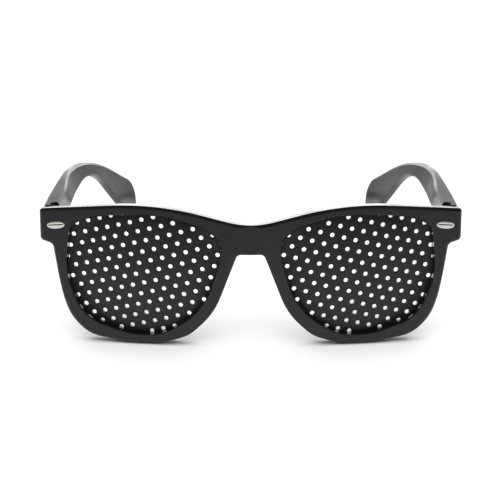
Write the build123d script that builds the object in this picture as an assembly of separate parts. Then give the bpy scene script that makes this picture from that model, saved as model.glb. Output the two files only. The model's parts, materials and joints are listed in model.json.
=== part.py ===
"""Pinhole glasses: a moulded plastic front and two folding temples, each lens a curved perforated plate.

Everything is modelled as worn, with the front upright, then stood on its rims and temple tips.
X runs across the front, Y runs back along the temples and Z is up.  One side is modelled and mirrored.
"""
from build123d import *
from math import atan2, cos, degrees, pi, radians, sin, sqrt, tan
import os

# Front
FRONT_WIDTH = 149.8
FRONT_HEIGHT = 50.0
FRONT_THICKNESS = 5.0
FACE_WRAP = 5.5
FRONT_EDGE_BEVEL = 0.7
BACK_EDGE_BEVEL = 0.6
OPENING_BEVEL = 0.35
BRIDGE_DIP = 6.35
BRIDGE_DEPTH = 10.65
BRIDGE_TOP_HALF = 4.2
BRIDGE_UNDER_HALF = 4.8
BRIDGE_FACE_ROUND = 60.0

# End pieces
END_STEP = 1.5
END_HEIGHT = 11.25
END_LENGTH = 4.55
END_DROP = 1.5
END_BLOCK_WIDTH = 9.0
END_DEPTH = 4.5

# Rim widths that the lens openings leave
RIM_ABOVE = 2.6
RIM_BELOW = 4.0
RIM_INSIDE = 10.95
RIM_OUTSIDE = 10.2

# Pinhole plates
PLATE_RADIUS = 200.0
PLATE_THICKNESS = 1.3
PLATE_RECESS = 0.9
PLATE_LAP = 0.8
GROOVE_CLEARANCE = 0.1
HOLE_DIAMETER = 1.66
HOLE_PITCH = 4.235
HOLE_ROW_ANGLE = -13.25
HOLE_SEED_X = -0.64
HOLE_SEED_Z = 11.97
HOLE_SIDES = 6
HEX_TURN = 60.0
HOLE_EDGE_MARGIN = 0.15

# Nose pads
PAD_DROP = 4.0
PAD_LENGTH = 16.0
PAD_WIDTH = 3.0
PAD_REACH = 4.6
PAD_INSET = 0.8
PAD_FOOT_INSET = 1.3
PAD_FLARE = 1.2

# Temples
TEMPLE_REACH = 125.3
TEMPLE_HEIGHT = 12.3
TEMPLE_RISE = 1.7
TEMPLE_INSET = 0.7
TEMPLE_BUTT_THICKNESS = 5.5
TEMPLE_TIP_THICKNESS = 3.4
TEMPLE_TOE_IN = 18.7
TEMPLE_STRAIGHT = 11.5
TEMPLE_BEVEL = 0.9
BUTT_GAP = 0.15

# Hinges
KNUCKLE_RADIUS = 1.5
KNUCKLE_MIDDLE = 2.2
KNUCKLE_OUTER = 2.1
KNUCKLE_GAP = 0.1
KNUCKLE_STANDOFF = 0.2
HINGE_DROP = 5.5
LEAF_THICKNESS = 0.9
FRONT_LEAF_WIDTH = 6.6
FRONT_LEAF_HEIGHT = 8.4
FRONT_LEAF_INSET = 2.1
TEMPLE_LEAF_LENGTH = 11.0
TEMPLE_LEAF_HEIGHT = 4.6
WEB_WIDTH = 1.6
GROOVE_RUN = 0.3
SEAT_CLEARANCE = 0.03

# Hinge screw
SCREW_RADIUS = 0.70
SCREW_BORE_CLEARANCE = 0.05
SCREW_HEAD_RADIUS = 1.2
SCREW_HEAD_HEIGHT = 0.6

# Oval rivets on the front
RIVET_LENGTH = 6.3
RIVET_HEIGHT = 2.9
RIVET_PROUD = 0.35
RIVET_SUNK = 0.5
RIVET_POST_RADIUS = 0.8
RIVET_FROM_END = 6.05
RIVET_TILT = 4.0

# Working values
STANDING_PASSES = 4
OVERRUN = 20.0
REACH = 0.03
SAMPLES = (0.1, 0.5, 0.9)
RIGHT_ANGLE = 90.0

# Corners of the front from the bridge's top to its underside, as shares of half width and of height.  Each corner
# ends in the share of its shorter run that its rounding takes.
BRIDGE_TOP_SHARE = 0.440
BROW_SHARES = [(0.444, 1.017, 0.559)]
END_TOP_SHARE = 0.09
END_UNDER_SHARE = 0.247
END_NOTCH_SHARE = 0.295
RIM_SHARES = [(0.906, 0.390, 0.390), (0.840, 0.075, 0.580), (0.589, 0.0, 0.311), (0.234, 0.0, 0.689)]
BRIDGE_UNDER_SHARE = 0.140

# Corners of a lens opening about its centre, as shares of its width and height
LENS_SHARES = [
    (0.480, 0.459, 0.253), (0.064, 0.532, 0.610), (-0.498, 0.371, 0.673), (-0.501, 0.130, 0.296),
    (-0.348, -0.502, 0.760), (0.104, -0.502, 0.315), (0.408, -0.392, 0.425), (0.509, -0.017, 0.256),
]

# Corners of a temple seen from the side, as shares of reach and of height over its underside
TEMPLE_SHARES = [
    (0.575, 1.636, 0.642), (1.0, -0.130, 0.323), (1.0, -1.707, 0.606), (0.612, 1.060, 0.388), (0.200, 0.360, 0.449),
]

# Corners of its outer face seen from above, as shares of reach and of toe-in, after the one where the toe-in starts
EASE_SHARE = 0.159
PLAN_SHARES = [(0.647, 0.150, 0.919), (1.018, 1.057, 0)]

# Sizes that follow from the others
HALF_WIDTH = FRONT_WIDTH / 2
FLAT_HALF_WIDTH = HALF_WIDTH / cos(radians(FACE_WRAP))
BRIDGE_TOP = FRONT_HEIGHT - BRIDGE_DIP
BRIDGE_UNDER = BRIDGE_TOP - BRIDGE_DEPTH
END_TOP = FRONT_HEIGHT - END_STEP
END_UNDER = END_TOP - END_HEIGHT
END_INSIDE = FLAT_HALF_WIDTH - END_LENGTH
END_BLOCK_INSIDE = HALF_WIDTH - END_BLOCK_WIDTH
END_BACK = HALF_WIDTH * tan(radians(FACE_WRAP)) + END_DEPTH
LENS_WIDTH = FLAT_HALF_WIDTH - RIM_INSIDE - RIM_OUTSIDE
LENS_HEIGHT = FRONT_HEIGHT - RIM_ABOVE - RIM_BELOW
LENS_CENTRE_X = RIM_INSIDE + LENS_WIDTH / 2
LENS_CENTRE_Z = RIM_BELOW + LENS_HEIGHT / 2
PAD_TOP = BRIDGE_UNDER - PAD_DROP
PAD_BOTTOM = PAD_TOP - PAD_LENGTH
HINGE_HEIGHT = END_TOP - HINGE_DROP
HINGE_Y = END_BACK + KNUCKLE_STANDOFF + KNUCKLE_RADIUS
BUTT_Y = END_BACK + BUTT_GAP
TEMPLE_OUTSIDE = HALF_WIDTH - TEMPLE_INSET
TEMPLE_INSIDE = TEMPLE_OUTSIDE - TEMPLE_BUTT_THICKNESS
HINGE_X = TEMPLE_INSIDE + KNUCKLE_RADIUS
TEMPLE_TOP = END_TOP + TEMPLE_RISE
TEMPLE_BOTTOM = TEMPLE_TOP - TEMPLE_HEIGHT
FRONT_LEAF_OUTSIDE = HALF_WIDTH - FRONT_LEAF_INSET
RIVET_X = FLAT_HALF_WIDTH - RIVET_FROM_END


def block(low, high):
    """Box between two corners."""
    size = [b - a for a, b in zip(low, high)]
    middle = [(a + b) / 2 for a, b in zip(low, high)]
    return Pos(*middle) * Box(*size)


def upright_cylinder(x, y, radius, low, high):
    return Pos(x, y, (low + high) / 2) * Cylinder(radius, high - low)


def along_y(face, length):
    """A flat outline made into a prism that runs back from Y = 0."""
    return extrude(face, length, dir=(0, 1, 0))


def corner_radius(before, corner, after, share):
    """Radius whose rounding takes a share of the shorter of the two runs that meet at a corner."""
    run_in = Vector(*corner) - Vector(*before)
    run_out = Vector(*after) - Vector(*corner)
    turn = radians(run_in.get_angle(run_out))
    return share * min(run_in.length, run_out.length) / tan(turn / 2)


def rounded_outline(corners, close):
    """Straight runs through the corners, each given as two positions and the share that rounds it."""
    points = [(across, up) for across, up, _ in corners]
    before = points[-1:] + points[:-1]
    after = points[1:] + points[:1]
    shares = [share for _, _, share in corners]
    radii = [corner_radius(*four) for four in zip(before, points, after, shares)]
    if not close:
        radii = radii[1:-1]
    return FilletPolyline(*points, radius=radii, close=close)


def front_outline():
    """Outline of the right half of the front, carried a little past the middle for the mitre."""
    corners = [(-FRONT_THICKNESS, BRIDGE_TOP, 0), (BRIDGE_TOP_HALF, BRIDGE_TOP, BRIDGE_TOP_SHARE)]
    corners += [(x * FLAT_HALF_WIDTH, z * FRONT_HEIGHT, share) for x, z, share in BROW_SHARES]
    corners += [(FLAT_HALF_WIDTH, END_TOP, END_TOP_SHARE), (FLAT_HALF_WIDTH, END_UNDER, END_UNDER_SHARE)]
    corners += [(END_INSIDE, END_UNDER - END_DROP, END_NOTCH_SHARE)]
    corners += [(x * FLAT_HALF_WIDTH, z * FRONT_HEIGHT, share) for x, z, share in RIM_SHARES]
    corners += [(BRIDGE_UNDER_HALF, BRIDGE_UNDER, BRIDGE_UNDER_SHARE), (-FRONT_THICKNESS, BRIDGE_UNDER, 0)]
    closing = Line((-FRONT_THICKNESS, BRIDGE_UNDER), (-FRONT_THICKNESS, BRIDGE_TOP))
    return make_face(Plane.XZ * (rounded_outline(corners, False) + closing))


def lens_outline(grow=0.0):
    """The lens shape about its own centre, grown on every side."""
    width = LENS_WIDTH + 2 * grow
    height = LENS_HEIGHT + 2 * grow
    corners = [(x * width, z * height, share) for x, z, share in LENS_SHARES]
    return make_face(Plane.XZ * rounded_outline(corners, True))


def wrap():
    """Turns a flat half of the front back round the face."""
    return Rot(0, 0, FACE_WRAP)


def lens_place():
    return Pos(LENS_CENTRE_X, 0, LENS_CENTRE_Z)


def edges_on(solid, test):
    """Edges whose every sampled point passes the test."""
    return [edge for edge in solid.edges() if all(test(edge.position_at(t)) for t in SAMPLES)]


def edges_at_depth(solid, depth):
    return edges_on(solid, lambda p: abs(p.Y - depth) < REACH)


def flat_half(depth):
    """Right half of the front laid flat, with its lens opening and its front edges finished."""
    half = along_y(front_outline(), depth)
    half = chamfer(edges_at_depth(half, 0), FRONT_EDGE_BEVEL)
    opening = along_y(lens_place() * lens_outline(), depth)
    half -= opening
    inner = [edge for edge in edges_at_depth(half, 0) if edge.center(CenterOf.BOUNDING_BOX).Y < REACH]
    return chamfer([edge for edge in inner if lies_in_opening(edge)], OPENING_BEVEL)


def lies_in_opening(edge):
    middle = edge.position_at(0.5)
    inside_x = abs(middle.X - LENS_CENTRE_X) < LENS_WIDTH / 2 + REACH
    return inside_x and abs(middle.Z - LENS_CENTRE_Z) < LENS_HEIGHT / 2 + REACH


def end_block():
    """The stretch behind the end piece that stays solid back to the temple joint."""
    low = (END_BLOCK_INSIDE, -OVERRUN, END_UNDER - END_DROP)
    high = (HALF_WIDTH + OVERRUN, END_BACK, FRONT_HEIGHT + OVERRUN)
    return block(low, high)


def bridge_shave():
    """What the rounded bridge face takes off the mitre between the two halves."""
    half = radians(FACE_WRAP)
    reach = BRIDGE_FACE_ROUND * sin(half)
    centre = BRIDGE_FACE_ROUND / cos(half)
    top = FRONT_HEIGHT + OVERRUN
    tip = block((-OVERRUN, -OVERRUN, -OVERRUN), (reach, reach * tan(half), top))
    return tip - upright_cylinder(0, centre, BRIDGE_FACE_ROUND, -OVERRUN, top)


def wrapped_front():
    """Half of the front turned back round the face and mitred at the middle."""
    rim = flat_half(FRONT_THICKNESS)
    rim = chamfer(edges_at_depth(rim, FRONT_THICKNESS), BACK_EDGE_BEVEL)
    thick = wrap() * flat_half(FRONT_THICKNESS + END_DEPTH) & end_block()
    top = FRONT_HEIGHT + OVERRUN
    behind = block((-OVERRUN, END_BACK, -OVERRUN), (HALF_WIDTH + OVERRUN, 2 * OVERRUN, top))
    other_side = block((-OVERRUN, -OVERRUN, -OVERRUN), (0, OVERRUN, top))
    return wrap() * rim - behind - other_side - bridge_shave() + thick


def dish_depth(across):
    """Depth of the plate's front face at a distance across its rows of holes."""
    return PLATE_RECESS + PLATE_RADIUS - sqrt(PLATE_RADIUS**2 - across**2)


def dish_turn():
    """Lays the barrel's axis along the steepest rows of holes."""
    return Rot(0, HEX_TURN - HOLE_ROW_ANGLE - RIGHT_ANGLE, 0)


def dish_sheet():
    """The sheet a plate is cut from: curved like a barrel, with one narrow flat for each row of holes."""
    row = radians(HOLE_ROW_ANGLE - HEX_TURN)
    spacing = HOLE_PITCH * sin(radians(HEX_TURN))
    first = HOLE_SEED_Z * cos(row) - HOLE_SEED_X * sin(row) - spacing / 2
    span = int(LENS_WIDTH / HOLE_PITCH)
    steps = [first + k * spacing for k in range(-span, span + 2)]
    front = [(u, dish_depth(u)) for u in steps]
    back = [(u, dish_depth(u) + PLATE_THICKNESS) for u in reversed(steps)]
    return dish_turn() * extrude(make_face(Polyline(*front, *back, close=True)), LENS_HEIGHT, both=True)


def groove_ring():
    """The smooth barrel that a plate's sheet lies in."""
    centre = Pos(0, PLATE_RECESS + PLATE_RADIUS, 0)
    outer = Cylinder(PLATE_RADIUS + GROOVE_CLEARANCE, 2 * LENS_HEIGHT)
    inner = Cylinder(PLATE_RADIUS - PLATE_THICKNESS - GROOVE_CLEARANCE, 2 * LENS_HEIGHT)
    return dish_turn() * centre * (outer - inner)


def plate_prism(face):
    """A prism deep enough to hold the dished plate."""
    return Pos(0, -FRONT_THICKNESS, 0) * along_y(face, 3 * FRONT_THICKNESS)


def hole_centres():
    """Hexagonal rows of holes, kept where a hole's centre shows inside the opening."""
    shown = lens_outline(-HOLE_EDGE_MARGIN)
    row = radians(HOLE_ROW_ANGLE)
    turned = radians(HOLE_ROW_ANGLE + HEX_TURN)
    span = int(LENS_WIDTH / HOLE_PITCH)
    centres = []
    for i in range(-span, span + 1):
        for j in range(-span, span + 1):
            x = HOLE_SEED_X + HOLE_PITCH * (i * cos(row) + j * cos(turned))
            z = HOLE_SEED_Z + HOLE_PITCH * (i * sin(row) + j * sin(turned))
            if shown.is_inside((x, 0, z)):
                centres.append((x, z))
    return centres


def pinhole_plate():
    """One curved plate, its holes all drawn along the plate's own axis as a mould would."""
    share = 2 * pi / HOLE_SIDES
    corner_radius = HOLE_DIAMETER / 2 * sqrt(share / sin(share))
    hole = RegularPolygon(corner_radius, HOLE_SIDES)
    holes = [Pos(x, 0, z) * (Plane.XZ * hole) for x, z in hole_centres()]
    return wrap() * lens_place() * (dish_sheet() & plate_prism(lens_outline(PLATE_LAP) - holes))


def plate_groove():
    blank = plate_prism(lens_outline(PLATE_LAP + GROOVE_CLEARANCE))
    return wrap() * lens_place() * (groove_ring() & blank)


def pad_section(depth, shift):
    """Crescent slice of a nose pad along the nasal side of the rim."""
    bridge = (BRIDGE_UNDER_HALF, BRIDGE_UNDER)
    foot = (RIM_SHARES[-1][0] * FLAT_HALF_WIDTH, RIM_SHARES[-1][1] * FRONT_HEIGHT)

    def nasal_x(z):
        return bridge[0] + (foot[0] - bridge[0]) * (bridge[1] - z) / (bridge[1] - foot[1]) + shift

    middle = (PAD_TOP + PAD_BOTTOM) / 2
    top = (nasal_x(PAD_TOP), PAD_TOP)
    bottom = (nasal_x(PAD_BOTTOM) + PAD_FOOT_INSET, PAD_BOTTOM)
    bulge = (nasal_x(middle), middle)
    lens_side = (nasal_x(middle) + PAD_WIDTH, middle)
    slice_outline = ThreePointArc(top, bulge, bottom) + ThreePointArc(bottom, lens_side, top)
    return Pos(0, depth, 0) * make_face(Plane.XZ * slice_outline)


def nose_pad():
    """Moulded pad that grows back from the rim beside the nose and flares away from it."""
    root = pad_section(FRONT_THICKNESS / 2, PAD_INSET)
    crest = pad_section(FRONT_THICKNESS + PAD_REACH, PAD_INSET + PAD_FLARE)
    pad = loft([root, crest])
    return wrap() * chamfer(pad.faces().sort_by(Axis.Y)[-1].edges(), BACK_EDGE_BEVEL)


def temple_side():
    """Side outline of a temple, from the butt round the paddle and back, in the Y-Z plane."""
    corners = [(BUTT_Y, TEMPLE_TOP, 0)]
    for y, z, share in TEMPLE_SHARES:
        corners.append((BUTT_Y + y * TEMPLE_REACH, TEMPLE_BOTTOM + z * TEMPLE_HEIGHT, share))
    corners.append((BUTT_Y, TEMPLE_BOTTOM, 0))
    closing = Line((BUTT_Y, TEMPLE_BOTTOM), (BUTT_Y, TEMPLE_TOP))
    return make_face(Plane.YZ * (rounded_outline(corners, False) + closing))


def temple_face_corners(butt_inset, tip_inset):
    """Corners of one face of a temple seen from above, measured in from its outside."""
    butt_x = TEMPLE_OUTSIDE - butt_inset
    toed_x = TEMPLE_OUTSIDE - tip_inset
    corners = [(butt_x, BUTT_Y, 0), (butt_x, BUTT_Y + TEMPLE_STRAIGHT, EASE_SHARE)]
    for y, x, share in PLAN_SHARES:
        corners.append((toed_x - x * TEMPLE_TOE_IN, BUTT_Y + y * TEMPLE_REACH, share))
    return corners


def temple_plan():
    """Top outline of a temple: straight past the hinge, then curving in towards the tip."""
    outside = temple_face_corners(0, 0)
    inside = temple_face_corners(TEMPLE_BUTT_THICKNESS, TEMPLE_TIP_THICKNESS)
    outline = rounded_outline(outside, False) + rounded_outline(inside, False)
    for out_end, in_end in zip(outside[::len(outside) - 1], inside[::len(inside) - 1]):
        outline += Line(out_end[:2], in_end[:2])
    return make_face(outline)


def temple_blank():
    """A temple as its side outline cut through its top outline, with bevelled long edges."""
    slab = extrude(temple_side(), HALF_WIDTH + OVERRUN, dir=(1, 0, 0))
    bend = extrude(temple_plan(), FRONT_HEIGHT + OVERRUN, dir=(0, 0, 1))
    blank = slab & bend
    long_edges = [edge for edge in blank.edges() if edge.bounding_box().max.Y > BUTT_Y + REACH]
    return chamfer(long_edges, TEMPLE_BEVEL)


def knuckle(low, high):
    return upright_cylinder(HINGE_X, HINGE_Y, KNUCKLE_RADIUS, low, high)


def screw_bore():
    radius = SCREW_RADIUS + SCREW_BORE_CLEARANCE
    return upright_cylinder(HINGE_X, HINGE_Y, radius, HINGE_HEIGHT - OVERRUN, HINGE_HEIGHT + OVERRUN)


def outer_knuckle_spans():
    """Lower and upper heights of the two knuckles that belong to the front."""
    near = KNUCKLE_MIDDLE / 2 + KNUCKLE_GAP
    far = near + KNUCKLE_OUTER
    return [(HINGE_HEIGHT - far, HINGE_HEIGHT - near), (HINGE_HEIGHT + near, HINGE_HEIGHT + far)]


def front_leaf_plate(clearance=0.0):
    inner = FRONT_LEAF_OUTSIDE - FRONT_LEAF_WIDTH
    half = FRONT_LEAF_HEIGHT / 2 + clearance
    low = (inner - clearance, END_BACK - LEAF_THICKNESS, HINGE_HEIGHT - half)
    return block(low, (FRONT_LEAF_OUTSIDE + clearance, END_BACK, HINGE_HEIGHT + half))


def rivet_place():
    """On the end piece, square to the wrapped face of the front."""
    return wrap() * Pos(RIVET_X, 0, HINGE_HEIGHT) * Rot(0, RIVET_TILT, 0)


def rivet_post(clearance=0.0):
    length = FRONT_THICKNESS + OVERRUN
    post = Pos(0, length / 2, 0) * Rot(90, 0, 0) * Cylinder(RIVET_POST_RADIUS + clearance, length)
    leaf_front = END_BACK - LEAF_THICKNESS
    behind = block((0, leaf_front, 0), (2 * HALF_WIDTH, 2 * OVERRUN + END_BACK, FRONT_HEIGHT))
    return rivet_place() * post - behind


def rivet_head(clearance=0.0):
    oval = Ellipse(RIVET_LENGTH / 2 + clearance, RIVET_HEIGHT / 2 + clearance)
    head = extrude(Plane.XZ.offset(-RIVET_SUNK) * oval, RIVET_SUNK + RIVET_PROUD, dir=(0, -1, 0))
    return rivet_place() * head


def rivet():
    """Oval stud whose post runs back through the end piece to the hinge leaf."""
    return rivet_head() + rivet_post()


def front_hinge():
    """Front leaf: a plate let into the end piece, with two knuckles held off it by webs."""
    leaf = front_leaf_plate()
    for low, high in outer_knuckle_spans():
        web_low = (HINGE_X - WEB_WIDTH / 2, END_BACK - LEAF_THICKNESS / 2, low)
        leaf += block(web_low, (HINGE_X + WEB_WIDTH / 2, HINGE_Y, high)) + knuckle(low, high)
    return leaf - screw_bore()


def temple_leaf_box(clearance=0.0):
    """The flat of the temple's leaf, which starts just clear of the front's knuckles."""
    start = HINGE_Y + KNUCKLE_RADIUS + GROOVE_RUN
    low = (TEMPLE_INSIDE - clearance, start - clearance, HINGE_HEIGHT - TEMPLE_LEAF_HEIGHT / 2 - clearance)
    high_z = HINGE_HEIGHT + TEMPLE_LEAF_HEIGHT / 2 + clearance
    return block(low, (TEMPLE_INSIDE + LEAF_THICKNESS, start + TEMPLE_LEAF_LENGTH + clearance, high_z))


def temple_hinge():
    """Temple leaf: a plate let into the inner face, with the single middle knuckle."""
    half = KNUCKLE_MIDDLE / 2
    neck_end = HINGE_Y + KNUCKLE_RADIUS + GROOVE_RUN + LEAF_THICKNESS
    neck_low = (TEMPLE_INSIDE, HINGE_Y, HINGE_HEIGHT - half)
    neck = block(neck_low, (TEMPLE_INSIDE + LEAF_THICKNESS, neck_end, HINGE_HEIGHT + half))
    leaf = temple_leaf_box() + neck + knuckle(HINGE_HEIGHT - half, HINGE_HEIGHT + half)
    return leaf - screw_bore()


def hinge_screw():
    """Screw that drops through all three knuckles, with a flat round head."""
    top = outer_knuckle_spans()[1][1]
    bottom = outer_knuckle_spans()[0][0]
    shank = upright_cylinder(HINGE_X, HINGE_Y, SCREW_RADIUS, bottom, top)
    return shank + upright_cylinder(HINGE_X, HINGE_Y, SCREW_HEAD_RADIUS, top, top + SCREW_HEAD_HEIGHT)


def temple():
    """A temple with its butt hollowed round the knuckles and a pocket for the leaf."""
    solid = temple_blank()
    low = END_UNDER - OVERRUN
    high = END_TOP + OVERRUN
    solid -= upright_cylinder(HINGE_X, HINGE_Y, KNUCKLE_RADIUS + GROOVE_RUN, low, high)
    solid -= block((0, BUTT_Y - OVERRUN, low), (HINGE_X, HINGE_Y, high))
    half = KNUCKLE_MIDDLE / 2 + SEAT_CLEARANCE
    neck_low = (TEMPLE_INSIDE - OVERRUN, HINGE_Y, HINGE_HEIGHT - half)
    neck_end = HINGE_Y + KNUCKLE_RADIUS + GROOVE_RUN + LEAF_THICKNESS
    solid -= block(neck_low, (TEMPLE_INSIDE + LEAF_THICKNESS, neck_end, HINGE_HEIGHT + half))
    solid -= temple_leaf_box(SEAT_CLEARANCE)
    return solid


def front_frame():
    """The whole front: both rims, bridge, end pieces and nose pads in one moulding."""
    half = wrapped_front() + nose_pad()
    half -= plate_groove()
    half -= front_leaf_plate(SEAT_CLEARANCE)
    half -= rivet_head(SEAT_CLEARANCE)
    half -= rivet_post(SEAT_CLEARANCE)
    return half + mirror(half, Plane.YZ)


def standing(front, side):
    """Turn that stands the glasses on the rims' lowest points and the temple tips."""
    rim_y = LENS_CENTRE_X * tan(radians(FACE_WRAP)) + FRONT_THICKNESS / 2
    tip_y = BUTT_Y + TEMPLE_REACH
    turn = 0.0
    for _ in range(STANDING_PASSES):
        rise = (Rot(turn, 0, 0) * side).bounding_box().min.Z - (Rot(turn, 0, 0) * front).bounding_box().min.Z
        turn -= degrees(atan2(rise, tip_y - rim_y))
    return Rot(turn, 0, 0)


def main():
    one_side = {
        "pinhole_plate": pinhole_plate(),
        "rivet": rivet(),
        "front_hinge": front_hinge(),
        "temple": temple(),
        "temple_hinge": temple_hinge(),
        "hinge_screw": hinge_screw(),
    }
    nodes = {"front_frame": front_frame()}
    for name, shape in one_side.items():
        nodes[name + "_left"] = shape
        nodes[name + "_right"] = mirror(shape, Plane.YZ)
    stand = standing(nodes["front_frame"], nodes["temple_left"])
    standing_nodes = {name: stand * shape for name, shape in nodes.items()}
    boxes = [shape.bounding_box() for shape in standing_nodes.values()]
    front_y = min(box.min.Y for box in boxes)
    tip_y = max(box.max.Y for box in boxes)
    rest = Pos(0, -(front_y + tip_y) / 2, -min(box.min.Z for box in boxes))
    os.makedirs("parts", exist_ok=True)
    for name, shape in standing_nodes.items():
        export_step(rest * shape, "parts/" + name + ".step")
    hinge = rest * stand * Pos(HINGE_X, HINGE_Y, HINGE_HEIGHT)
    axis = (stand * Pos(0, 0, OVERRUN)).position.normalized()
    print("hinge point in mm", tuple(hinge.position), "axis", tuple(axis))
    print("holes per plate", len(hole_centres()))


if __name__ == "__main__":
    main()
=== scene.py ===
"""Looks for the pinhole glasses: black plastic, perforated plates, oval studs, a white studio."""

import bpy
import bmesh
import json
from math import atan2, copysign, cos, exp, hypot, pi, radians, sin, sqrt
from mathutils import Matrix, Vector
from mathutils.geometry import convex_hull_2d


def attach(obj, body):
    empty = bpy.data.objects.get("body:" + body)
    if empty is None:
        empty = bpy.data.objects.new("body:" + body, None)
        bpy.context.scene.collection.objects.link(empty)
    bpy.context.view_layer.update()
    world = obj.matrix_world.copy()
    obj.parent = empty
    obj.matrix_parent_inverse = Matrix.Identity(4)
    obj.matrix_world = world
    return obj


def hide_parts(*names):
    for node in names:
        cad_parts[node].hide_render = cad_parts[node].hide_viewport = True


MM = 0.001

# Where the upright design stands in the frame
HINGE_DEPTH = 13.412 * MM
HINGE_HEIGHT = 43.0 * MM
FACE_WRAP = radians(5.5)
LENS_CENTRE = Vector((38.0 * MM, 0, 25.7 * MM))

# Perforated plates
PLATE_RADIUS = 100 * MM
PLATE_RECESS = 0.3 * MM
PLATE_DEEPEST = 3.4 * MM
PLATE_THICKNESS = 1.3 * MM
PLATE_STRIP = 2.0 * MM
PLATE_STRIPS = 16
HOLE_RADIUS = 0.83 * MM
HOLE_PITCH = 4.245 * MM
HOLE_SIDES = 24
HOLE_MOUTH = 1.12 * MM
HOLE_MOUTH_DEPTH = 0.3 * MM
HOLE_ROW = radians(-13.25)
HEX_TURN = radians(60)
HOLE_SEED = Vector((-0.52 * MM, 11.75 * MM))
HOLE_SPAN = 13
HOLE_INSIDE = 0.3 * MM
TOOL_REACH = 12 * MM

# Moves of a lens opening's outline towards the photographed one: place, spread and shift, in
# millimetres from the middle of the lens
OPENING_MOVES = [
    ((27.0, 7.0), (4.0, 10.0), (1.05, 0.0)),
    ((11.0, 21.5), (16.0, 1.6), (0.0, -1.05)),
    ((23.0, 19.0), (5.5, 3.0), (0.0, -1.5)),
    ((-22.5, 16.0), (5.0, 3.0), (0.0, -1.3)),
    ((-2.0, -21.7), (20.0, 1.8), (0.0, -0.75)),
    ((26.0, -8.0), (4.0, 6.0), (0.6, 0.0)),
]

# Temple's top edge, lower at its butt than in the frame's own shape
BUTT_DEPTH = 11.862 * MM
BUTT_DROP = 1.35 * MM
BUTT_REACH = 30 * MM
BUTT_ABOVE = 47 * MM

# Temple's thickness, less than in the frame's own shape from behind its hinge leaf on
THIN_START = 28 * MM
THIN_REACH = 26 * MM
THIN_STEP = 4 * MM
THIN_SHARE = 0.55
THIN_MATCH = 0.001 * MM

# Rounding and shading of edges
FLAT_ANGLE = radians(0.5)
EDGE_ANGLE = radians(22)
METAL_EDGE_ANGLE = radians(50)
ROUND_WIDTH = 0.28 * MM
ROUND_STEPS = 3
MERGE_REACH = 0.002 * MM

# Oval studs; the edge, the score and the score's width are shares of the half axes
STUD_CENTRE = Vector((69.4 * MM, 0, 42.75 * MM))
STUD_SIZE = Vector((3.15 * MM, 1.45 * MM))
STUD_TILT = radians(4)
STUD_POST = 0.8 * MM
STUD_SIDES = 48
STUD_RINGS = 14
STUD_EDGE = 0.86
STUD_CROWN = 0.14 * MM
STUD_FLAT = 0.2 * MM
STUD_SCORE = 0.16
STUD_SCORE_WIDTH = 0.26
STUD_SCORE_DEPTH = 0.14 * MM
STUD_SQUARE = 0.84
STUD_SUNK = 0.45 * MM
STUD_END = 3.0 * MM

# Pins of the temple leaves and slots of the hinge screws
PIN_FACE = 68.7 * MM
PIN_DEPTHS = (18.6 * MM, 23.4 * MM)
PIN_RADIUS = 0.75 * MM
PIN_CROWN = 0.28 * MM
PIN_SUNK = 0.5 * MM
PIN_RINGS = 5
PIN_SIDES = 20
SLOT_SIZE = Vector((3.0 * MM, 0.34 * MM, 0.6 * MM))
SLOT_TURN = radians(35)

# Materials: a noise is its scale and detail, a relief its strength and depth
NOISE_SPAN = (0.3, 0.7)
PLASTIC_BASE = (0.009, 0.009, 0.011)
PLASTIC_COLOURS = ((0.0075, 0.0073, 0.0095), (0.0105, 0.0100, 0.0130))
PLASTIC_CLOUD = (90, 3)
PLASTIC_GRAIN = (900, 2)
PLASTIC_RELIEF = (0.05, 0.02 * MM)
PLATE_BASE = (0.014, 0.014, 0.016)
PLATE_COLOURS = ((0.008, 0.008, 0.0105), (0.018, 0.0175, 0.021))
PLATE_ROUGH = 0.42
PLATE_ROUGHS = (0.36, 0.50)
PLATE_GRAIN = (2200, 3)
PLATE_RELIEF = (0.25, 0.03 * MM)
METAL_DETAIL = 4
METAL_ROUGH_SHARES = (0.7, 1.4)
METAL_RELIEF = (0.08, 0.02 * MM)

# Camera of the photograph
CAMERA_DISTANCE = 420 * MM
CAMERA_TILT = radians(23)
CAMERA_AIM = Vector((0, -71.7 * MM, 38.6 * MM))
CAMERA_LENS = 87.7
SENSOR_WIDTH = 36
SHIFT_X = -0.0014

# Paper floor, and its painted tone in reflections from front to back as shares of a reach to either
# side: glossy rays alone see grey in front, and behind a dark edge with grey beyond
FLOOR_REACH = 0.8
FLOOR_WHITE = (0.95, 0.95, 0.95)
FLOOR_ROUGH = 0.9
PAINTED_GLOSS_RAMP_REACH = 0.2
PAINTED_GLOSS_RAMP = [
    (0.3, 0.6),
    (0.38, 0.95),
    (0.708, 0.95),
    (0.715, 0.12),
    (0.728, 0.12),
    (0.738, 0.6),
    (1.0, 0.3),
]

# Light from the surroundings, and the spans of direction over which it changes
FRONT_LIGHT = 0.55
BACK_LIGHT = 2.4
BACK_SPAN = (0.2, 0.8)
CEILING_LIGHT = 0.04
CEILING_SPAN = (0.06, 0.5)
TABLE_LIGHT = 0.13
TABLE_SPAN = (-0.14, -0.08)
GLOW_LIGHT = 0.8
GLOW_TOP = (0.045, 0.085)
GLOW_FOOT = (-0.045, -0.025)
GLOW_BACK = (0.7, 0.9)
DIP_LIGHT = 0.4
DIP_START = (0.06, 0.09)
DIP_END = (0.17, 0.22)

# Overhead lamp
LAMP_SIZE = 2.2
LAMP_HEIGHT = 1.1
LAMP_ENERGY = 34

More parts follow.
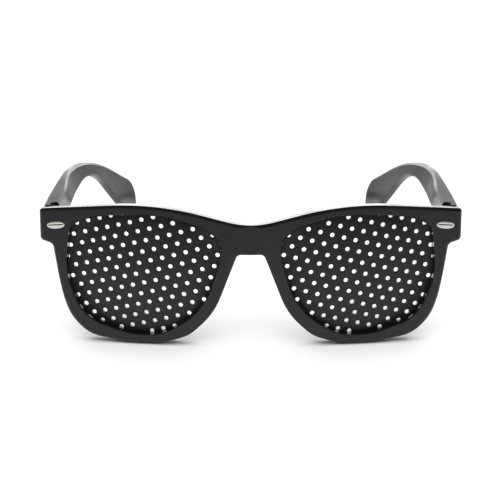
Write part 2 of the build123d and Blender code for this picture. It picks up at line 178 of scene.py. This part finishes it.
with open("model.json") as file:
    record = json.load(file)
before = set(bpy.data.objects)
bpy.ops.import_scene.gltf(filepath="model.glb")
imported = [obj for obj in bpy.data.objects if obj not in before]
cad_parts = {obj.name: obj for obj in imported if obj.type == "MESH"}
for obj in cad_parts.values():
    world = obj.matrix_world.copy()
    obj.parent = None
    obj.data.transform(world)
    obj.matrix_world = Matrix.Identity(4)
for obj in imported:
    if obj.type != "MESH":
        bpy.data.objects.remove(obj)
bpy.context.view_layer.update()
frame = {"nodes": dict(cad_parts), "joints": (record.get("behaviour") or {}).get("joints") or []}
nodes = frame["nodes"]
joints = frame["joints"]


def worn_place():
    """Matrix from the upright design, as worn, to the frame, where it stands on rims and tips."""
    hinge = next(j for j in joints if j["name"] == "temple_left_fold")
    axis = Vector(hinge["axis"])
    lean = Matrix.Rotation(-atan2(axis.y, axis.z), 4, "X")
    point = Vector(hinge["pos_m"])
    offset = point - lean @ Vector((point.x, HINGE_DEPTH, HINGE_HEIGHT))
    return Matrix.Translation(offset) @ lean


WORN = worn_place()
UPRIGHT = WORN.inverted()
ALONG = WORN.to_3x3() @ Vector((0, 1, 0))


def new_object(name, mesh):
    piece = bpy.data.objects.new(name, mesh)
    bpy.context.scene.collection.objects.link(piece)
    return piece


def mesh_from(bm, name):
    mesh = bpy.data.meshes.new(name)
    bm.to_mesh(mesh)
    bm.free()
    return mesh


def piece_from(bm, name):
    return new_object(name, mesh_from(bm, name))


def set_edges(bm, angle):
    """Smooth shading everywhere but across edges that turn by more than an angle."""
    for face in bm.faces:
        face.smooth = True
    for edge in bm.edges:
        edge.smooth = edge.calc_face_angle(0) < angle


def sliced(bm, point, normal):
    """New edges where a plane crosses the faces of a mesh; both sides stay."""
    geometry = bm.verts[:] + bm.edges[:] + bm.faces[:]
    bmesh.ops.bisect_plane(bm, geom=geometry, plane_co=point, plane_no=normal)


def applied(piece):
    """Puts the piece's mesh with its modifiers back on it, with the modifiers gone."""
    graph = bpy.context.evaluated_depsgraph_get()
    mesh = bpy.data.meshes.new_from_object(piece.evaluated_get(graph))
    piece.modifiers.clear()
    piece.data = mesh


def cut_away(piece, tool):
    """Takes a tool's shape out of a piece and removes the tool."""
    cut = piece.modifiers.new("cut", "BOOLEAN")
    cut.operation = "DIFFERENCE"
    cut.solver = "EXACT"
    cut.object = tool
    applied(piece)
    bpy.data.objects.remove(tool)


def turned_right(mesh, place):
    """Puts a mesh in its place, with its faces turned outward again where the place mirrors it."""
    mesh.transform(place)
    bm = bmesh.new()
    bm.from_mesh(mesh)
    bmesh.ops.recalc_face_normals(bm, faces=bm.faces)
    bm.to_mesh(mesh)
    bm.free()


# Materials
def material(name, base, rough, metal=0.0):
    made = bpy.data.materials.new(name)
    made.use_nodes = True
    shader = made.node_tree.nodes["Principled BSDF"]
    shader.inputs["Base Color"].default_value = (*base, 1)
    shader.inputs["Roughness"].default_value = rough
    shader.inputs["Metallic"].default_value = metal
    return made, shader


def noise(tree, scale, detail):
    coord = tree.nodes.new("ShaderNodeTexCoord")
    texture = tree.nodes.new("ShaderNodeTexNoise")
    texture.inputs["Scale"].default_value = scale
    texture.inputs["Detail"].default_value = detail
    tree.links.new(coord.outputs["Object"], texture.inputs["Vector"])
    return texture.outputs["Fac"]


def ramp(tree, source, low, high, span):
    """A value that goes from low to high while its source crosses a span."""
    node = tree.nodes.new("ShaderNodeMapRange")
    node.inputs["From Min"].default_value = span[0]
    node.inputs["From Max"].default_value = span[1]
    node.inputs["To Min"].default_value = low
    node.inputs["To Max"].default_value = high
    tree.links.new(source, node.inputs["Value"])
    return node.outputs["Result"]


def maths(tree, operation, first, second):
    node = tree.nodes.new("ShaderNodeMath")
    node.operation = operation
    for slot, value in enumerate((first, second)):
        if isinstance(value, float):
            node.inputs[slot].default_value = value
        else:
            tree.links.new(value, node.inputs[slot])
    return node.outputs["Value"]


def bump(tree, source, shader, strength, distance):
    node = tree.nodes.new("ShaderNodeBump")
    node.inputs["Strength"].default_value = strength
    node.inputs["Distance"].default_value = distance
    tree.links.new(source, node.inputs["Height"])
    tree.links.new(node.outputs["Normal"], shader.inputs["Normal"])


def mixed_colour(tree, source, shader, low, high):
    node = tree.nodes.new("ShaderNodeMix")
    node.data_type = "RGBA"
    node.inputs["A"].default_value = (*low, 1)
    node.inputs["B"].default_value = (*high, 1)
    tree.links.new(source, node.inputs["Factor"])
    tree.links.new(node.outputs["Result"], shader.inputs["Base Color"])
    return node


def varied(tree, source, shader, roughs, colours):
    """Roughness and colour that change a little over the surface."""
    tree.links.new(ramp(tree, source, *roughs, NOISE_SPAN), shader.inputs["Roughness"])
    mixed_colour(tree, source, shader, *colours)


def polished_plastic(name, smoothest, roughest):
    made, shader = material(name, PLASTIC_BASE, smoothest)
    tree = made.node_tree
    varied(tree, noise(tree, *PLASTIC_CLOUD), shader, (smoothest, roughest), PLASTIC_COLOURS)
    bump(tree, noise(tree, *PLASTIC_GRAIN), shader, *PLASTIC_RELIEF)
    return made


def plate_plastic():
    made, shader = material("satin_black", PLATE_BASE, PLATE_ROUGH)
    tree = made.node_tree
    grain = noise(tree, *PLATE_GRAIN)
    varied(tree, grain, shader, PLATE_ROUGHS, PLATE_COLOURS)
    bump(tree, grain, shader, *PLATE_RELIEF)
    return made


def metal(name, low, high, rough, scale):
    made, shader = material(name, low, rough, 1.0)
    tree = made.node_tree
    cloud = noise(tree, scale, METAL_DETAIL)
    varied(tree, cloud, shader, [rough * share for share in METAL_ROUGH_SHARES], (low, high))
    bump(tree, cloud, shader, *METAL_RELIEF)
    return made


POLISHED = polished_plastic("polished_black", smoothest=0.10, roughest=0.17)
HANDLED = polished_plastic("handled_black", smoothest=0.19, roughest=0.27)
SATIN = plate_plastic()
NICKEL = metal(
    "bright_nickel", low=(0.82, 0.78, 0.73), high=(0.92, 0.88, 0.84), rough=0.18, scale=600
)
HINGE_METAL = metal(
    "hinge_nickel", low=(0.50, 0.48, 0.45), high=(0.64, 0.62, 0.58), rough=0.32, scale=900
)
SCREW_METAL = metal(
    "screw_steel", low=(0.55, 0.55, 0.55), high=(0.70, 0.70, 0.70), rough=0.28, scale=900
)


def finish_with(piece, body, look):
    piece.data.materials.clear()
    piece.data.materials.append(look)
    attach(piece, body)


# Moulded parts with rounded edges
def plate_place(side):
    """Matrix from a lens, seen straight on from its middle, to the frame."""
    wrap = Matrix.Rotation(FACE_WRAP, 4, "Z")
    flip = Matrix.Scale(side, 4, (1, 0, 0))
    return WORN @ flip @ wrap @ Matrix.Translation(LENS_CENTRE)


def opening_moved(x, z):
    """Where a point beside a lens opening goes: each move falls off smoothly around its place."""
    shift = Vector((0, 0))
    for place, spread, move in OPENING_MOVES:
        across = (x / MM - place[0]) / spread[0]
        up = (z / MM - place[1]) / spread[1]
        shift += Vector(move) * MM * exp(-(across**2) - up**2)
    return x + shift.x, z + shift.y


def reshaped_openings(bm):
    """The front's lens openings moved to the photographed outline."""
    for side in (1, -1):
        place = plate_place(side)
        local = place.inverted()
        for vertex in bm.verts:
            spot = local @ vertex.co
            if vertex.co.x * side > 0:
                spot.x, spot.z = opening_moved(spot.x, spot.z)
                vertex.co = place @ spot


def lowered_butt(bm):
    """A temple with its top edge sloping down to the end piece."""
    sliced(bm, WORN @ Vector((0, BUTT_DEPTH + BUTT_REACH, 0)), ALONG)
    for vertex in bm.verts:
        spot = UPRIGHT @ vertex.co
        share = 1 - (spot.y - BUTT_DEPTH) / BUTT_REACH
        if spot.z > BUTT_ABOVE and share > 0:
            spot.z -= BUTT_DROP * min(1.0, share)
            vertex.co = WORN @ spot


def measured(bm, depth):
    """Depth, outer face, bottom and top of a temple where it has been sliced."""
    spots = [UPRIGHT @ vertex.co for vertex in bm.verts]
    near = [spot for spot in spots if abs(spot.y - depth) < THIN_MATCH]
    heights = [spot.z for spot in near]
    return depth, max(abs(spot.x) for spot in near), min(heights), max(heights)


def section(places, y):
    """Outer face, bottom and top of a temple at a depth, between or beyond measured places."""
    k = next((k for k in range(1, len(places)) if places[k][0] > y), len(places) - 1)
    near, far = Vector(places[k - 1][1:]), Vector(places[k][1:])
    return near + (far - near) * (y - places[k - 1][0]) / (places[k][0] - places[k - 1][0])


def thinned(bm):
    """A temple made thinner behind its hinge leaf, most at its top, with its outer face kept."""
    end = max((UPRIGHT @ vertex.co).y for vertex in bm.verts)
    places = []
    for k in range(int((end - THIN_START) / THIN_STEP)):
        depth = THIN_START + k * THIN_STEP
        sliced(bm, WORN @ Vector((0, depth, 0)), ALONG)
        places.append(measured(bm, depth))
    for vertex in bm.verts:
        spot = UPRIGHT @ vertex.co
        if spot.y > THIN_START:
            share = min(1.0, (spot.y - THIN_START) / THIN_REACH)
            outer, bottom, top = section(places, spot.y)
            height = min(1.0, max(0.0, (spot.z - bottom) / (top - bottom)))
            keep = 1 - (1 - THIN_SHARE) * share**2 * (3 - 2 * share) * height
            spot.x = copysign(outer - (outer - abs(spot.x)) * keep, spot.x)
            vertex.co = WORN @ spot


def reshaped_temple(bm):
    lowered_butt(bm)
    thinned(bm)


def rounded(node, body, look, reshape):
    """A moulded part: the frame's own shape with small moves and round edges."""
    bm = bmesh.new()
    bm.from_mesh(nodes[node].data)
    bmesh.ops.remove_doubles(bm, verts=bm.verts, dist=MERGE_REACH)
    bmesh.ops.dissolve_limit(bm, angle_limit=FLAT_ANGLE, verts=bm.verts, edges=bm.edges)
    reshape(bm)
    piece = piece_from(bm, "moulded_" + node)
    rounding = piece.modifiers.new("rounding", "BEVEL")
    rounding.width = ROUND_WIDTH
    rounding.segments = ROUND_STEPS
    rounding.limit_method = "ANGLE"
    rounding.angle_limit = EDGE_ANGLE
    rounding.harden_normals = False
    applied(piece)
    bm = bmesh.new()
    bm.from_mesh(piece.data)
    set_edges(bm, EDGE_ANGLE)
    bm.to_mesh(piece.data)
    bm.free()
    normals = piece.modifiers.new("normals", "WEIGHTED_NORMAL")
    normals.keep_sharp = True
    applied(piece)
    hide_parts(node)
    finish_with(piece, body, look)


def squared(value, power):
    return copysign(abs(value) ** power, value)


def ringed(bm, rings, sides, middle=Vector((0, 0)), power=1.0):
    """A closed shell through rings about the Y axis; a power below 1 squares the rings.

    Each ring is its two half axes and its depth.
    """
    angles = [2 * pi * k / sides for k in range(sides)]
    turns = [(squared(cos(angle), power), squared(sin(angle), power)) for angle in angles]
    loops = []
    for half_x, half_z, y in rings:
        spots = [(middle.x + half_x * x, y, middle.y + half_z * z) for x, z in turns]
        loops.append([bm.verts.new(spot) for spot in spots])
    faces = [bm.faces.new(loops[0]), bm.faces.new(loops[-1])]
    for near, far in zip(loops, loops[1:]):
        for k in range(sides):
            faces.append(bm.faces.new((near[k], near[k - 1], far[k - 1], far[k])))
    bmesh.ops.recalc_face_normals(bm, faces=faces)


# Perforated plates
def dish_depth(x, z):
    """Depth of a plate's front face behind the rim's: a dome, flat where it would go too deep."""
    dome = PLATE_RECESS + PLATE_RADIUS - sqrt(PLATE_RADIUS**2 - x**2 - z**2)
    return min(PLATE_DEEPEST, dome)


def depth_inside(spot, rim):
    """Distance from a point to the nearest side of a convex outline, negative outside it."""
    turns = sum(a[0] * b[1] - a[1] * b[0] for a, b in zip(rim, rim[1:] + rim[:1]))
    sides = []
    for (ax, az), (bx, bz) in zip(rim, rim[1:] + rim[:1]):
        length = hypot(bx - ax, bz - az)
        if length > 0:
            sides.append(((bx - ax) * (spot.y - az) - (bz - az) * (spot.x - ax)) / length)
    return min(copysign(1, turns) * side for side in sides)


def hole_centres(rim):
    """Places on a turned hexagonal lattice, cut off by the plate's outline."""
    for i in range(-HOLE_SPAN, HOLE_SPAN + 1):
        for j in range(-HOLE_SPAN, HOLE_SPAN + 1):
            row = Vector((cos(HOLE_ROW), sin(HOLE_ROW))) * i
            turned = Vector((cos(HOLE_ROW + HEX_TURN), sin(HOLE_ROW + HEX_TURN))) * j
            spot = HOLE_SEED + (row + turned) * HOLE_PITCH
            if depth_inside(spot, rim) > HOLE_INSIDE:
                yield spot


def hole_tools(rim):
    """Round cutters with a flared mouth, one for each hole."""
    bm = bmesh.new()
    for spot in hole_centres(rim):
        face = dish_depth(spot.x, spot.y)
        rings = [
            (HOLE_MOUTH, HOLE_MOUTH, -TOOL_REACH),
            (HOLE_MOUTH, HOLE_MOUTH, face),
            (HOLE_RADIUS, HOLE_RADIUS, face + HOLE_MOUTH_DEPTH),
            (HOLE_RADIUS, HOLE_RADIUS, TOOL_REACH),
        ]
        ringed(bm, rings, HOLE_SIDES, spot)
    return piece_from(bm, "hole_tools")


def pinhole_plate(side, word):
    """A perforated plate: the frame's own outline, moved with its opening, domed and pierced."""
    node = "pinhole_plate_" + word
    place = plate_place(side)
    local = place.inverted()
    flat = [local @ vertex.co for vertex in nodes[node].data.vertices]
    points = [opening_moved(spot.x, spot.z) for spot in flat]
    rim = [points[i] for i in convex_hull_2d(points)]
    bm = bmesh.new()
    bm.faces.new([bm.verts.new((x, 0, z)) for x, z in rim])
    for across in (Vector((1, 0, 0)), Vector((0, 0, 1))):
        for k in range(-PLATE_STRIPS, PLATE_STRIPS + 1):
            sliced(bm, across * k * PLATE_STRIP, across)
    grown = bmesh.ops.extrude_face_region(bm, geom=bm.faces[:])
    for vertex in [g for g in grown["geom"] if isinstance(g, bmesh.types.BMVert)]:
        vertex.co.y += PLATE_THICKNESS
    for vertex in bm.verts:
        vertex.co.y += dish_depth(vertex.co.x, vertex.co.z)
    bmesh.ops.recalc_face_normals(bm, faces=bm.faces)
    piece = piece_from(bm, "plate_" + word)
    cut_away(piece, hole_tools(rim))
    turned_right(piece.data, place)
    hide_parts(node)
    finish_with(piece, "front", SATIN)


# Small metal parts
def stud_rise(share, z):
    """Height of a stud's face: a low pillow with a round edge and a scored line near its middle."""
    edge = min(1.0, max(0.0, (share - STUD_EDGE) / (1 - STUD_EDGE)))
    pillow = STUD_CROWN * (1 - share**2) + STUD_FLAT * sqrt(1 - edge**2)
    score = max(0.0, 1 - abs(z / STUD_SIZE.y - STUD_SCORE) / STUD_SCORE_WIDTH)
    inside = min(1.0, max(0.0, (STUD_EDGE - share) / (1 - STUD_EDGE)))
    return pillow - STUD_SCORE_DEPTH * score * inside


def stud(side, word):
    """Oval stud on a round post; each ring of its face holds its share until its rise is set."""
    bm = bmesh.new()
    shares = [k / STUD_RINGS for k in range(1, STUD_RINGS + 1)]
    rings = [(share * STUD_SIZE.x, share * STUD_SIZE.y, -share * MM) for share in shares]
    back = [
        (STUD_SIZE.x, STUD_SIZE.y, STUD_SUNK),
        (STUD_POST, STUD_POST, STUD_SUNK),
        (STUD_POST, STUD_POST, STUD_END),
    ]
    ringed(bm, rings + back, STUD_SIDES, power=STUD_SQUARE)
    for vertex in bm.verts:
        if vertex.co.y < 0:
            vertex.co.y = -stud_rise(-vertex.co.y / MM, vertex.co.z)
    set_edges(bm, METAL_EDGE_ANGLE)
    piece = piece_from(bm, "stud_" + word)
    flip = Matrix.Scale(side, 4, (1, 0, 0))
    wrap = Matrix.Rotation(FACE_WRAP, 4, "Z")
    tilt = Matrix.Rotation(STUD_TILT, 4, "Y")
    turned_right(piece.data, WORN @ flip @ wrap @ Matrix.Translation(STUD_CENTRE) @ tilt)
    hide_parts("rivet_" + word)
    finish_with(piece, "front", NICKEL)


def leaf_pins(side, word):
    """Two domed pins that hold a temple's hinge leaf."""
    bm = bmesh.new()
    shares = [k / PIN_RINGS for k in range(1, PIN_RINGS + 1)]
    dome = [
        (share * PIN_RADIUS, share * PIN_RADIUS, -PIN_CROWN * sqrt(1 - share**2))
        for share in shares
    ]
    turn = Matrix.Rotation(-pi / 2, 4, "Z")
    for depth in PIN_DEPTHS:
        pin = bmesh.new()
        ringed(pin, dome + [(PIN_RADIUS, PIN_RADIUS, PIN_SUNK)], PIN_SIDES)
        place = Matrix.Translation((PIN_FACE, depth, HINGE_HEIGHT)) @ turn
        bmesh.ops.transform(pin, matrix=place, verts=pin.verts)
        mesh = mesh_from(pin, "pin")
        bm.from_mesh(mesh)
        bpy.data.meshes.remove(mesh)
    set_edges(bm, METAL_EDGE_ANGLE)
    piece = piece_from(bm, "leaf_pins_" + word)
    turned_right(piece.data, WORN @ Matrix.Scale(side, 4, (1, 0, 0)))
    finish_with(piece, "temple_" + word, HINGE_METAL)


def slotted_screw(side, word):
    """The frame's hinge screw with a driver's slot across its head."""
    node = "hinge_screw_" + word
    piece = new_object("screw_" + word, nodes[node].data.copy())
    spots = [UPRIGHT @ vertex.co for vertex in piece.data.vertices]
    top = max(spot.z for spot in spots)
    middle = sum(spots, Vector()) / len(spots)
    bm = bmesh.new()
    bmesh.ops.create_cube(bm, size=1, matrix=Matrix.Diagonal((*SLOT_SIZE, 1)))
    tool = piece_from(bm, "slot_tool")
    turn = Matrix.Rotation(SLOT_TURN * side, 4, "Z")
    tool.data.transform(WORN @ Matrix.Translation((middle.x, middle.y, top)) @ turn)
    cut_away(piece, tool)
    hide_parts(node)
    finish_with(piece, "front", SCREW_METAL)


def wear(node, look):
    """Gives a look to a node of the frame that is shown as it is."""
    shown = nodes[node].data.materials
    shown.clear()
    shown.append(look)


rounded("front_frame", "front", POLISHED, reshaped_openings)
for side, word in ((1, "left"), (-1, "right")):
    rounded("temple_" + word, "temple_" + word, HANDLED, reshaped_temple)
    pinhole_plate(side, word)
    stud(side, word)
    leaf_pins(side, word)
    slotted_screw(side, word)
    wear("front_hinge_" + word, HINGE_METAL)
    wear("temple_hinge_" + word, HINGE_METAL)


# Studio
def studio_floor():
    """White paper; glossy rays alone see a painted reflection of it ending in front and behind,
    with a grey table going on from there.
    """
    bm = bmesh.new()
    reach = FLOOR_REACH
    corners = [(-reach, -reach), (reach, -reach), (reach, reach), (-reach, reach)]
    bm.faces.new([bm.verts.new((x, y, 0)) for x, y in corners])
    floor = piece_from(bm, "floor")
    made, shader = material("floor_white_painted_gloss", FLOOR_WHITE, FLOOR_ROUGH)
    shader.inputs["Specular IOR Level"].default_value = 0.0
    tree = made.node_tree
    coord = tree.nodes.new("ShaderNodeTexCoord")
    parts = tree.nodes.new("ShaderNodeSeparateXYZ")
    tree.links.new(coord.outputs["Object"], parts.inputs["Vector"])
    # Painted reflection: the paper's end, a dark edge and a grey table, in tones that only glossy
    # rays see
    table = tree.nodes.new("ShaderNodeValToRGB")
    stops = table.color_ramp.elements
    stops.remove(stops[1])
    for place, tone in PAINTED_GLOSS_RAMP:
        stops.new(place).color = (tone, tone, tone, 1)
    stops.remove(stops[0])
    along = ramp(tree, parts.outputs["Y"], 0.0, 1.0, (-PAINTED_GLOSS_RAMP_REACH, PAINTED_GLOSS_RAMP_REACH))
    tree.links.new(along, table.inputs["Fac"])
    # Glossy rays see the painted reflection tones, all other rays the plain white paper
    path = tree.nodes.new("ShaderNodeLightPath")
    node = mixed_colour(tree, path.outputs["Is Glossy Ray"], shader, FLOOR_WHITE, FLOOR_WHITE)
    tree.links.new(table.outputs["Color"], node.inputs["B"])
    floor.data.materials.append(made)


def studio_world():
    """White to the camera; to the object a bright back, a grey front and a dark ceiling."""
    world = bpy.data.worlds.new("studio")
    bpy.context.scene.world = world
    world.use_nodes = True
    tree = world.node_tree
    background = tree.nodes["Background"]
    coord = tree.nodes.new("ShaderNodeTexCoord")
    parts = tree.nodes.new("ShaderNodeSeparateXYZ")
    tree.links.new(coord.outputs["Generated"], parts.inputs["Vector"])
    depth, height = parts.outputs["Y"], parts.outputs["Z"]
    back = ramp(tree, depth, FRONT_LIGHT, BACK_LIGHT, BACK_SPAN)
    ceiling = ramp(tree, height, 1.0, CEILING_LIGHT, CEILING_SPAN)
    table = ramp(tree, height, TABLE_LIGHT, 1.0, TABLE_SPAN)
    glow = ramp(tree, height, GLOW_LIGHT, 0.0, GLOW_TOP)
    glow = maths(tree, "MULTIPLY", glow, ramp(tree, depth, 0.0, 1.0, GLOW_BACK))
    glow = maths(tree, "MULTIPLY", glow, ramp(tree, height, 0.0, 1.0, GLOW_FOOT))
    dip = ramp(tree, height, 1.0, DIP_LIGHT, DIP_START)
    rise = ramp(tree, height, 0.0, 1.0 - DIP_LIGHT, DIP_END)
    back = maths(tree, "MULTIPLY", back, maths(tree, "ADD", dip, rise))
    shade = maths(tree, "MULTIPLY", ceiling, table)
    wall = maths(tree, "MULTIPLY", maths(tree, "ADD", back, glow), shade)
    path = tree.nodes.new("ShaderNodeLightPath")
    seen = path.outputs["Is Camera Ray"]
    wall = maths(tree, "MULTIPLY", wall, maths(tree, "SUBTRACT", 1.0, seen))
    tree.links.new(maths(tree, "ADD", wall, seen), background.inputs["Strength"])
    background.inputs["Color"].default_value = (1, 1, 1, 1)


def overhead_lamp():
    """A large soft lamp that neither the camera nor a reflection shows."""
    lamp = bpy.data.objects.new("overhead", bpy.data.lights.new("overhead", "AREA"))
    bpy.context.scene.collection.objects.link(lamp)
    lamp.data.shape = "SQUARE"
    lamp.data.size = LAMP_SIZE
    lamp.data.energy = LAMP_ENERGY
    lamp.location = (0, 0, LAMP_HEIGHT)
    lamp.visible_glossy = False
    lamp.visible_camera = False


def photo_camera():
    """A camera in front of the glasses that looks down at them."""
    camera = bpy.data.objects.new("camera", bpy.data.cameras.new("camera"))
    bpy.context.scene.collection.objects.link(camera)
    bpy.context.scene.camera = camera
    camera.data.sensor_width = SENSOR_WIDTH
    camera.data.lens = CAMERA_LENS
    camera.data.shift_x = SHIFT_X
    back = Vector((0, -cos(CAMERA_TILT), sin(CAMERA_TILT)))
    camera.location = CAMERA_AIM + back * CAMERA_DISTANCE
    camera.rotation_euler = (pi / 2 - CAMERA_TILT, 0, 0)


studio_floor()
studio_world()
overhead_lamp()
photo_camera()
bpy.context.scene.view_settings.view_transform = "Standard"
